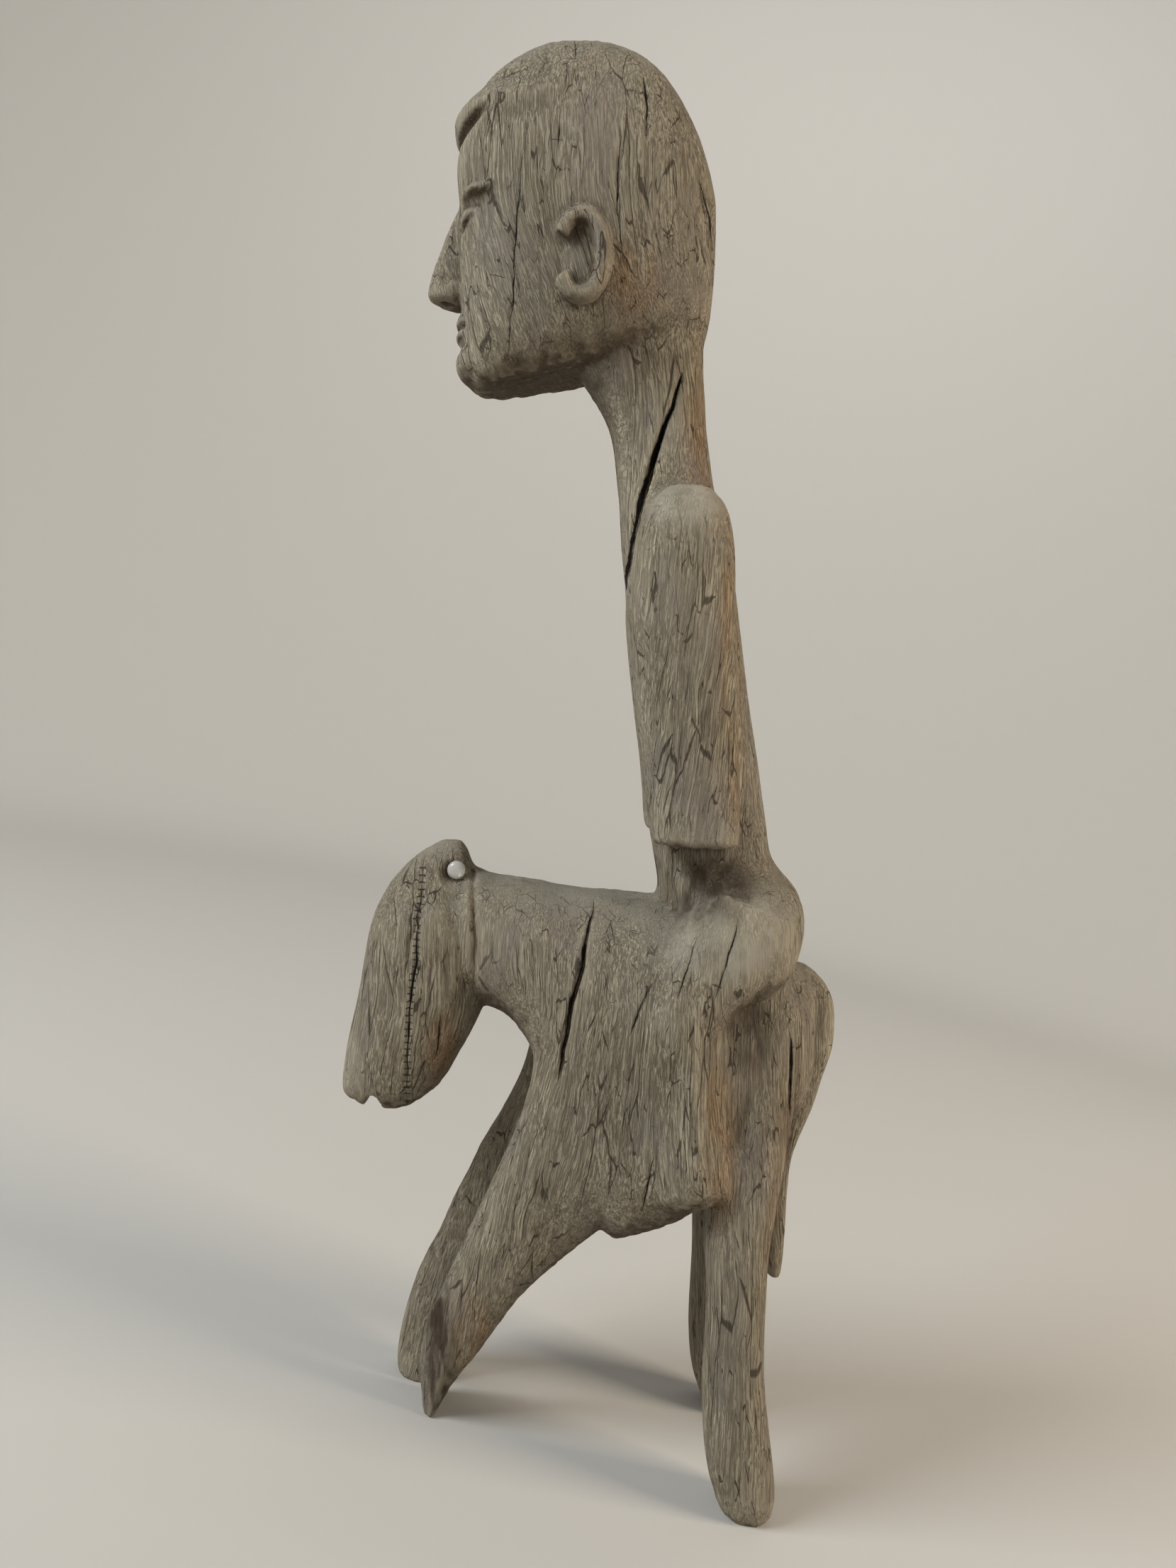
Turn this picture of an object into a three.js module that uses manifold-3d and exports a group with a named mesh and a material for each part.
// A rider on a horse, carved from one log of wood and worn grey by weather. It stands, leaning
// forwards, on the two broken front legs and the two worn hind legs.
// Millimetres, +Z up. The horse and the rider face -Y, and +X is their left side.
//
// The figure is set out upright in the log: height is measured up the log from the end of the left
// hind leg, depth from the middle of the log towards the rump. lean() then tips it onto its feet.

import * as THREE from "three";
import { mergeVertices } from "three/addons/utils/BufferGeometryUtils.js";
import Module from "manifold-3d";

const wasm = await Module();
wasm.setup();

// Driving dimensions
const LEAN = 12; // degrees that the log tips forwards when the figure stands on its feet
const FLOOR = 20; // height in the log of the floor's plane, where it crosses the log's middle
const STAND_Y = 55.1; // brings the middle of the leaning figure over the origin
const SIDES = 20; // corners of a section
const HEAD_SIDES = 24; // and of the head and the barrel
const LEG_SIDES = 16; // and of a leg
const STEPS = 1; // rings from one station to the next

const HALF_SPAN = 66; // half the width over the rider's knees
const CROWN = 716.5; // top of the head
const CHIN = 554; // underside of the chin
const HAIRLINE = 677; // front edge of the hair
const FACE = 65; // the face's plane, in front of the log's middle

const DROP_X = 15.5; // seat of the clear drop on the horse's poll
const DROP_Y = -65.6;
const DROP_Z = 314;
const DROP_RADIUS = 4.6;
const DROP_HEIGHT = 3.4;
const DROP_SIDES = 16;
const GAP = 0.3; // between the drop and the wood

// A face on thirds: brow, nose and chin divide the height below the hairline evenly.
const THIRD = (HAIRLINE - CHIN) / 3;
const BROW = CHIN + 2 * THIRD;
const NOSE_BASE = CHIN + THIRD;
const EYE = BROW - 9;
const MOUTH = NOSE_BASE - THIRD / 3;

// A station is one section of a form: its middle, how far its plane turns from level (degrees, rear
// side up), its half sizes along the plane and across the log, and how square it is (2 is an ellipse).
const station = (x, y, z, turn, deep, wide, square = 2.6) => ({ x, y, z, turn, deep, wide, square });

// A level section from its front and rear edges and its inner and outer edges.
const level = (z, front, rear, inner, outer, square) =>
  station((inner + outer) / 2, (front + rear) / 2, z, 0, (rear - front) / 2, (outer - inner) / 2, square);

// An upright section across the horse, from its top and bottom edges.
const upright = (y, top, bottom, wide, square) =>
  station(0, y, (top + bottom) / 2, 90, (top - bottom) / 2, wide, square);

// The same stations on the right side of the log.
const mirrored = (stations) => stations.map((s) => ({ ...s, x: -s.x }));

// A smooth value between four neighbours, as a Catmull-Rom curve has.
function between(a, b, c, d, t) {
  const bend = 2 * a - 5 * b + 4 * c - d + (3 * b - a - 3 * c + d) * t;
  return b + 0.5 * t * (c - a + t * bend);
}

// The station at a place along the form, counted in stations.
function along(stations, place) {
  const at = Math.min(Math.floor(place), stations.length - 2);
  const near = (i) => stations[THREE.MathUtils.clamp(i, 0, stations.length - 1)];
  const four = [near(at - 1), near(at), near(at + 1), near(at + 2)];
  const mix = (key) => between(...four.map((s) => s[key]), place - at);
  return station(mix("x"), mix("y"), mix("z"), mix("turn"), mix("deep"), mix("wide"), mix("square"));
}

// The point of a section at an angle round it, on a superellipse.
function onSection(s, angle, size) {
  const round = (value) => Math.sign(value) * Math.abs(value) ** (2 / s.square);
  const run = round(Math.sin(angle)) * s.deep * size;
  const turn = THREE.MathUtils.degToRad(s.turn);
  return [
    s.x + round(Math.cos(angle)) * s.wide * size,
    s.y + run * Math.cos(turn),
    s.z + run * Math.sin(turn),
  ];
}

// A closed solid from a geometry: only its places are kept, and equal corners are joined.
function solid(geometry) {
  const bare = geometry.clone();
  bare.deleteAttribute("normal");
  bare.deleteAttribute("uv");
  const joined = mergeVertices(bare, 1e-4);
  const made = new wasm.Manifold(
    new wasm.Mesh({
      numProp: 3,
      vertProperties: joined.attributes.position.array,
      triVerts: new Uint32Array(joined.index.array),
    }),
  );
  return made;
}

// A form: a section carried along its stations, closed by a flat cap at both ends.
function form(stations, sides = SIDES, steps = STEPS) {
  const rings = (stations.length - 1) * steps;
  const places = [];
  const faces = [];
  for (let ring = 0; ring <= rings; ring += 1) {
    const section = along(stations, ring / steps);
    for (let side = 0; side < sides; side += 1) {
      places.push(...onSection(section, ((side + 0.5) / sides) * 2 * Math.PI, 1));
    }
  }
  for (const ring of [0, rings]) places.push(...onSection(along(stations, ring / steps), 0, 0));
  const corner = (ring, side) => ring * sides + (side % sides);
  const caps = (rings + 1) * sides;
  for (let side = 0; side < sides; side += 1) {
    for (let ring = 0; ring < rings; ring += 1) {
      faces.push(corner(ring, side), corner(ring, side + 1), corner(ring + 1, side + 1));
      faces.push(corner(ring, side), corner(ring + 1, side + 1), corner(ring + 1, side));
    }
    faces.push(caps, corner(0, side + 1), corner(0, side));
    faces.push(caps + 1, corner(rings, side), corner(rings, side + 1));
  }
  const geometry = new THREE.BufferGeometry();
  geometry.setAttribute("position", new THREE.Float32BufferAttribute(places, 3));
  geometry.setIndex(faces);
  const made = solid(geometry);
  if (made.volume() > 0) return made;
  geometry.setIndex(faces.reverse());
  return solid(geometry);
}

// A rounded lump: a ball stretched to half sizes, turned about X (degrees) and set in place.
function lump(x, y, z, wide, deep, tall, turn = 0) {
  const ball = new THREE.SphereGeometry(1, 14, 8);
  ball.scale(wide, deep, tall);
  ball.rotateX(THREE.MathUtils.degToRad(turn));
  return solid(ball.translate(x, y, z));
}

// A form and its twin on the other side of the log.
const pair = (stations, sides, steps) => [
  form(stations, sides, steps),
  form(mirrored(stations), sides, steps),
];

// The rider's trunk and long neck, from inside the horse up into the head.
const trunk = form([
  level(262, 40, 97, -35, 35),
  level(300, 37, 94.5, -35, 35),
  level(326, 33, 91, -33, 33),
  level(356, 28, 87, -32, 32),
  level(396, 24, 81, -33, 33),
  level(440, 20, 75, -35, 35),
  level(470, 17.5, 71, -37, 37),
  level(490, 16.5, 67, -36, 36),
  level(503, 15.5, 63, -30, 30),
  level(529, 12, 59.5, -25.5, 25.5),
  level(546, 5, 58.5, -25, 25),
  level(562, -5, 57.5, -26, 26),
  level(580, -8, 57, -29, 29),
]);

// The head without its features: a long oval, its base rising to the rear.
const head = form(
  [
    station(0, 0, 562, 11, 50, 22),
    station(0, 0, 564, 11, 58, 29),
    station(0, 0, 574, 10, 61, 36),
    station(0, 0, 592, 7, 62.5, 41.5),
    station(0, 0, 615, 3, 63, 45),
    level(638, -63, 63, -46, 46),
    level(658, -64, 59, -45.5, 45.5),
    level(678, -60, 51.5, -42, 42),
    level(695, -50, 41.5, -36, 36),
    level(707, -36, 29, -27, 27),
    level(713.5, -22, 14.5, -17, 17),
    level(CROWN, -9, 1, -5, 5),
  ],
  HEAD_SIDES,
  2,
);

// The hair is a low cap that overhangs the forehead and runs out into the temples.
const hair = form([
  level(HAIRLINE - 9, -61, 8, -40, 40, 2.2),
  level(HAIRLINE - 4, -65, 20, -42.5, 42.5, 2.2),
  level(HAIRLINE + 3, -65, 28, -42, 42, 2.2),
  level(HAIRLINE + 12, -57, 34, -37, 37, 2.2),
  level(HAIRLINE + 24, -43, 30, -28, 28, 2.2),
  level(HAIRLINE + 33, -27, 20, -17, 17, 2.2),
]);

// The face is plain and calm: a straight nose, brows, half-closed lids and closed lips.
function face() {
  const nose = form(
    [
      station(0, -FACE + 5, BROW + 4, 0, 5, 5, 2.2),
      station(0, -FACE + 1, EYE, 0, 7, 5, 2.2),
      station(0, -FACE - 3, NOSE_BASE + 12, 0, 10, 7.5, 2.2),
      station(0, -FACE - 3, NOSE_BASE + 3, 0, 11, 10, 2.2),
      station(0, -FACE + 2, NOSE_BASE - 2, 0, 7, 7, 2.2),
    ],
    12,
    2,
  );
  const lips = [MOUTH + 3.4, MOUTH - 3.6].map((z) => lump(0, -FACE + 8, z, 16, 9, 3.8));
  const chin = lump(0, -FACE + 14, CHIN + 11, 20, 15, 12);
  const sides = [-1, 1].flatMap((side) => [
    lump(side * 21, -FACE + 15, EYE, 12, 11, 7),
    lump(side * 21, -FACE + 17, BROW + 1, 18, 13, 4.5),
  ]);
  return [nose, chin, ...lips, ...sides];
}

// An ear: a ridge bent round three quarters of an oval, standing off the side of the head.
function ear(side) {
  const turns = 10;
  const stations = [];
  for (let i = 0; i <= turns; i += 1) {
    const angle = THREE.MathUtils.degToRad(-150 + (300 * i) / turns);
    const y = -3 + 10.5 * Math.cos(angle);
    const z = 602 + 18 * Math.sin(angle);
    stations.push({ y, z, turn: THREE.MathUtils.radToDeg(angle) });
  }
  const rim = stations.map((s) => station(side * 45, s.y, s.z, s.turn, 4, 5.5, 2));
  return [form(rim, 8, 1), lump(side * 42, -3, 600, 4.5, 9, 15)];
}

// The left arm hangs straight down the trunk and is broken off above the elbow. The right arm is
// its twin.
const arm = [
  level(499, 38, 56, 22, 40),
  level(495, 33, 61, 20, 48),
  level(486, 27, 66, 18, 54),
  level(470, 22, 69, 18, 57),
  level(440, 20.5, 70, 20, 58),
  level(396, 24.5, 71, 22, 57),
  level(356, 29, 72, 23, 56),
  station(40, 51, 334, -4, 20, 16.5, 3.4),
  station(39, 51, 328, -4, 17, 14, 3.4),
];

// Hips and buttocks, sunk into the horse's back.
const hips = form([
  level(322, 36, 90, -30, 30),
  level(313, 37, 97, -40, 40),
  level(302, 40, 105, -50, 50),
  level(290, 44, 107.5, -56, 56),
  level(278, 50, 106, -58, 58),
  level(266, 58, 101, -56, 56),
  level(254, 62, 90, -48, 48),
]);

// The rider's left leg: a broad thigh that runs down to the knee, and a shin that hangs to the
// belly with a long upright crest down its outer side.
const riderLeg = [
  station(38, 80, 300, -24, 22, 18, 2.4),
  station(40, 71.5, 287, -20, 27, 20.5, 2.4),
  station(41, 63, 272, -20, 25, 21.5, 2.5),
  station(42, 51, 257, -19, 20.5, 22.5, 2.6),
  station(42, 43.5, 243, -12, 18.5, 23.5, 2.5),
  station(42, 46, 225, 0, 17.5, HALF_SPAN - 42, 2.1),
  station(42, 48.5, 200, 8, 21.5, HALF_SPAN - 42, 2),
  station(41.5, 49.5, 178, 10, 26, HALF_SPAN - 42, 2),
  station(40, 52.5, 165, 12, 25, 22.5, 2.2),
  station(38, 55, 158, 12, 20, 18, 2.2),
];

// The horse's neck, barrel and haunches. The flanks widen evenly from the neck to the rider's knees.
const barrel = form(
  [
    upright(-72, 303, 272, 18),
    upright(-60, 312.5, 249, 26),
    upright(-48, 310, 243, 29),
    upright(-36, 308, 234, 32),
    upright(-25, 306, 214, 35.5),
    upright(-10, 303, 170, 41, 2.8),
    upright(8, 301, 130, 48.5, 3.2),
    upright(31, 298.5, 133.5, 58, 3.2),
    upright(44, 297, 139, HALF_SPAN - 2, 3),
    upright(50, 295, 142, HALF_SPAN - 0.5, 2.8),
    upright(58, 292, 145, 60, 2.8),
    upright(67, 289, 147, 53, 2.8),
    upright(78, 285, 149, 50),
    upright(92, 275, 164, 47),
    upright(100, 267, 180, 42),
    upright(106, 264, 192, 34),
    upright(112, 261, 204, 24),
  ],
  HEAD_SIDES,
);

// The horse's head hangs from a high poll. Its muzzle is broken off below.
const horseHead = form([
  level(327.5, -75, -65, -6, 6, 3),
  level(324, -81, -62.5, -13, 13, 3),
  level(319, -88, -60.5, -17.5, 17.5, 3),
  level(309, -98, -58.5, -21.5, 21.5, 3),
  level(298, -105, -57.5, -25.5, 25.5),
  level(284, -110.5, -57, -28, 28),
  level(255, -116, -54, -29.5, 29.5),
  level(240, -119.3, -55.5, -29.5, 29.5),
  level(226, -122.5, -62, -28.5, 28.5),
  level(210, -125.3, -71, -26, 26),
  level(202, -125.5, -77, -24.5, 24.5),
  level(198, -123, -82, -22.5, 22.5),
  level(194, -112, -88, -18, 18),
]);

// A raised lobe on each side of the horse's head, where eye and cheek would be.
const cheek = [
  station(25.5, -75, 298, 0, 3, 4, 2),
  station(26.5, -76, 293, 0, 8, 5, 2),
  station(27, -75, 280, 0, 11, 5.5, 2),
  station(26.5, -74, 260, 0, 11, 4.5, 2),
  station(25.5, -75, 244, 0, 7, 3.5, 2),
];

// Front legs: broad at the chest, reaching forwards, and worn to a point where the hooves broke off.
const leftFrontLeg = [
  level(234, -25, 18, 4, 34),
  level(210, -28.5, 24, 3, 41),
  level(182, -37.5, 28, 3, 44),
  level(160, -47.5, 24, 3, 43),
  level(140, -56.5, 10, 3, 40),
  level(120, -65.5, -13, 3, 36),
  level(98, -75.5, -35, 2, 32.5),
  level(77, -83.8, -49.5, 1, 29.5),
  level(58, -86, -64.5, 0, 27),
  level(45, -85, -72.5, -1, 25),
  level(34, -83.5, -74.5, -1, 24),
];
const rightFrontLeg = [
  level(226, -29, 20, -36, -4),
  level(204, -34.5, 22, -41, -4),
  level(180, -46, 22, -43, -5),
  level(160, -58, 14, -42, -6),
  level(138, -69, 0, -40, -7),
  level(115, -79.5, -22, -38, -7),
  level(94, -90.5, -42, -36, -7),
  level(77, -96.7, -55, -34, -7),
  level(58, -101, -68, -32, -6),
  level(48, -102, -75, -30.5, -5),
  level(34, -101, -82, -29, -5),
];

// Hind legs: thick round posts, worn round at the end.
const leftHindLeg = [
  level(212, 66, 98, 10, 50),
  level(182, 62, 96.5, 14, 54),
  level(158, 57.5, 92, 19, 57),
  level(134, 56.3, 87.5, 24, 59),
  level(110, 57.7, 85.5, 26, 60),
  level(75, 56, 85, 26, 60),
  level(50, 56, 87, 26, 60),
  level(28, 58, 89.3, 26.5, 60),
  level(14, 61.5, 90.5, 28, 59.5),
  level(5, 65.5, 89, 31, 57),
  level(-1, 71, 85, 36, 52),
];
const rightHindLeg = [
  level(212, 66, 98, -50, -10),
  level(182, 62, 96.5, -54, -14),
  level(158, 59, 94, -57, -19),
  level(130, 58, 89, -59, -24),
  level(105, 58, 87, -60, -26),
  level(75, 57.5, 86, -60, -26),
  level(50, 56.5, 86, -60, -26),
  level(30, 58, 87.5, -59.5, -27),
  level(16, 61.5, 88.5, -58.5, -29),
  level(6, 65.5, 88.5, -57, -32),
  level(-1, 71, 85, -53, -36),
];

// The tail is a narrow strip that bulges from the rump and hangs below it, cut off short.
const tail = form(
  [
    level(263, 98, 112, -12, 12, 3),
    level(258, 98, 118.5, -14, 14, 3),
    level(250, 98, 123.7, -15, 15, 3),
    level(240, 98, 125.8, -15, 15, 3),
    level(222, 98, 125, -14, 14, 3),
    level(205, 96, 119.7, -13, 13, 3),
    level(190, 95, 115, -12, 12, 3),
    level(174, 93, 108.3, -11, 11, 3),
    level(164, 92, 104.5, -10.5, 10.5, 3),
    level(148, 91, 103, -10, 10, 3),
    level(124, 90.5, 101.7, -10, 10, 3),
    level(109, 91, 100.7, -9.5, 9.5, 3),
    level(102, 92.5, 99.5, -9, 9, 3),
  ],
  14,
);

// A split in the wood: a thin wedge, open at the surface, along points of depth and height.
function split(points, outer, inner, gape) {
  const route = points.map(([y, z]) => new THREE.Vector2(y, z));
  const count = route.length - 1;
  const widths = route.map((_, i) => gape * Math.sin((Math.PI * (i + 0.25)) / (count + 0.5)));
  const front = route.map((p, i) => new THREE.Vector2(p.x - widths[i] / 2, p.y));
  const rear = route.map((p, i) => new THREE.Vector2(p.x + widths[i] / 2, p.y));
  const outline = new THREE.Shape([...front, ...rear.reverse()]);
  const wedge = new THREE.ExtrudeGeometry(outline, { depth: outer - inner, bevelEnabled: false });
  const turn = new THREE.Matrix4().set(0, 0, 1, inner, 1, 0, 0, 0, 0, 1, 0, 0, 0, 0, 0, 1);
  wedge.applyMatrix4(turn);
  return solid(wedge);
}

// The three splits that are wide enough to see from a step away, all on the left side.
const splits = [
  split([[48, 565], [39, 541], [32, 514], [26, 497], [22.5, 474], [21, 456]], 60, 14, 3.2),
  split([[4.5, 293], [0, 276], [-6, 253], [-10, 231], [-14, 210]], 60, 32, 2.6),
  split([[-84, 296], [-86.5, 276], [-87.5, 252], [-90, 236], [-93, 216], [-95, 200]], 40, 20, 1.8),
];

// The break across the horse's muzzle leaves a notch between lip and jaw.
const muzzleNotch = lump(0, -107.5, 197, 34, 4.5, 7.5);

// Everything carved in the log, joined into one solid.
function carved() {
  const parts = [
    trunk,
    head,
    hair,
    ...face(),
    ...ear(1),
    ...ear(-1),
    ...pair(arm),
    hips,
    ...pair(riderLeg),
    barrel,
    horseHead,
    ...pair(cheek, 10, 1),
    form(leftFrontLeg, LEG_SIDES),
    form(rightFrontLeg, LEG_SIDES),
    form(leftHindLeg, LEG_SIDES),
    form(rightHindLeg, LEG_SIDES),
    tail,
  ];
  const whole = parts.reduce((sum, part) => sum.add(part));
  return [...splits, muzzleNotch, dropSeat()].reduce((rest, cut) => rest.subtract(cut), whole);
}

// The geometry of a solid.
function geometryOf(body) {
  const mesh = body.getMesh();
  const geometry = new THREE.BufferGeometry();
  geometry.setAttribute("position", new THREE.BufferAttribute(mesh.vertProperties.slice(), 3));
  geometry.setIndex(new THREE.BufferAttribute(mesh.triVerts.slice(), 1));
  return geometry;
}

// Tips a shape forwards onto its feet, with the floor at zero height.
function lean(geometry) {
  geometry.translate(0, 0, -FLOOR);
  geometry.rotateX(THREE.MathUtils.degToRad(LEAN));
  return geometry.translate(0, STAND_Y, 0);
}

// The figure on the floor: whatever reaches below the floor is worn flat.
function standing() {
  const floor = new THREE.BoxGeometry(400, 600, 100).translate(0, 0, -50);
  const body = solid(lean(geometryOf(carved())));
  return geometryOf(body.subtract(solid(floor)));
}

// A turned shape about the line through the drop's middle, its profile given as radius and height.
function turned(profile) {
  const shape = new THREE.LatheGeometry(profile.map(([r, h]) => new THREE.Vector2(r, h)), DROP_SIDES);
  shape.rotateZ(-Math.PI / 2);
  return shape.translate(DROP_X, DROP_Y, DROP_Z);
}

// The flat seat in the wood that the drop sits on.
function dropSeat() {
  const radius = DROP_RADIUS + GAP;
  return solid(turned([[0, 0], [radius, 0], [radius, 20], [0, 20]]));
}

// The clear drop stuck on the left side of the horse's poll: a low dome.
function drop() {
  const profile = [[0, GAP]];
  for (let i = 0; i <= 5; i += 1) {
    const angle = (i / 5) * (Math.PI / 2);
    profile.push([DROP_RADIUS * Math.cos(angle), GAP + DROP_HEIGHT * Math.sin(angle)]);
  }
  profile[profile.length - 1][0] = 0;
  return lean(turned(profile));
}

const wood = new THREE.MeshStandardMaterial({ color: 0x7a7160, roughness: 0.9, metalness: 0 });
const clear = new THREE.MeshStandardMaterial({
  color: 0xc8c9c6,
  roughness: 0.15,
  metalness: 0,
  transparent: true,
  opacity: 0.5,
});

const figure = new THREE.Mesh(standing(), wood);
figure.name = "horse_and_rider";

const clearDrop = new THREE.Mesh(drop(), clear);
clearDrop.name = "clear_drop";

const part = new THREE.Group();
part.add(figure, clearDrop);

export default part;
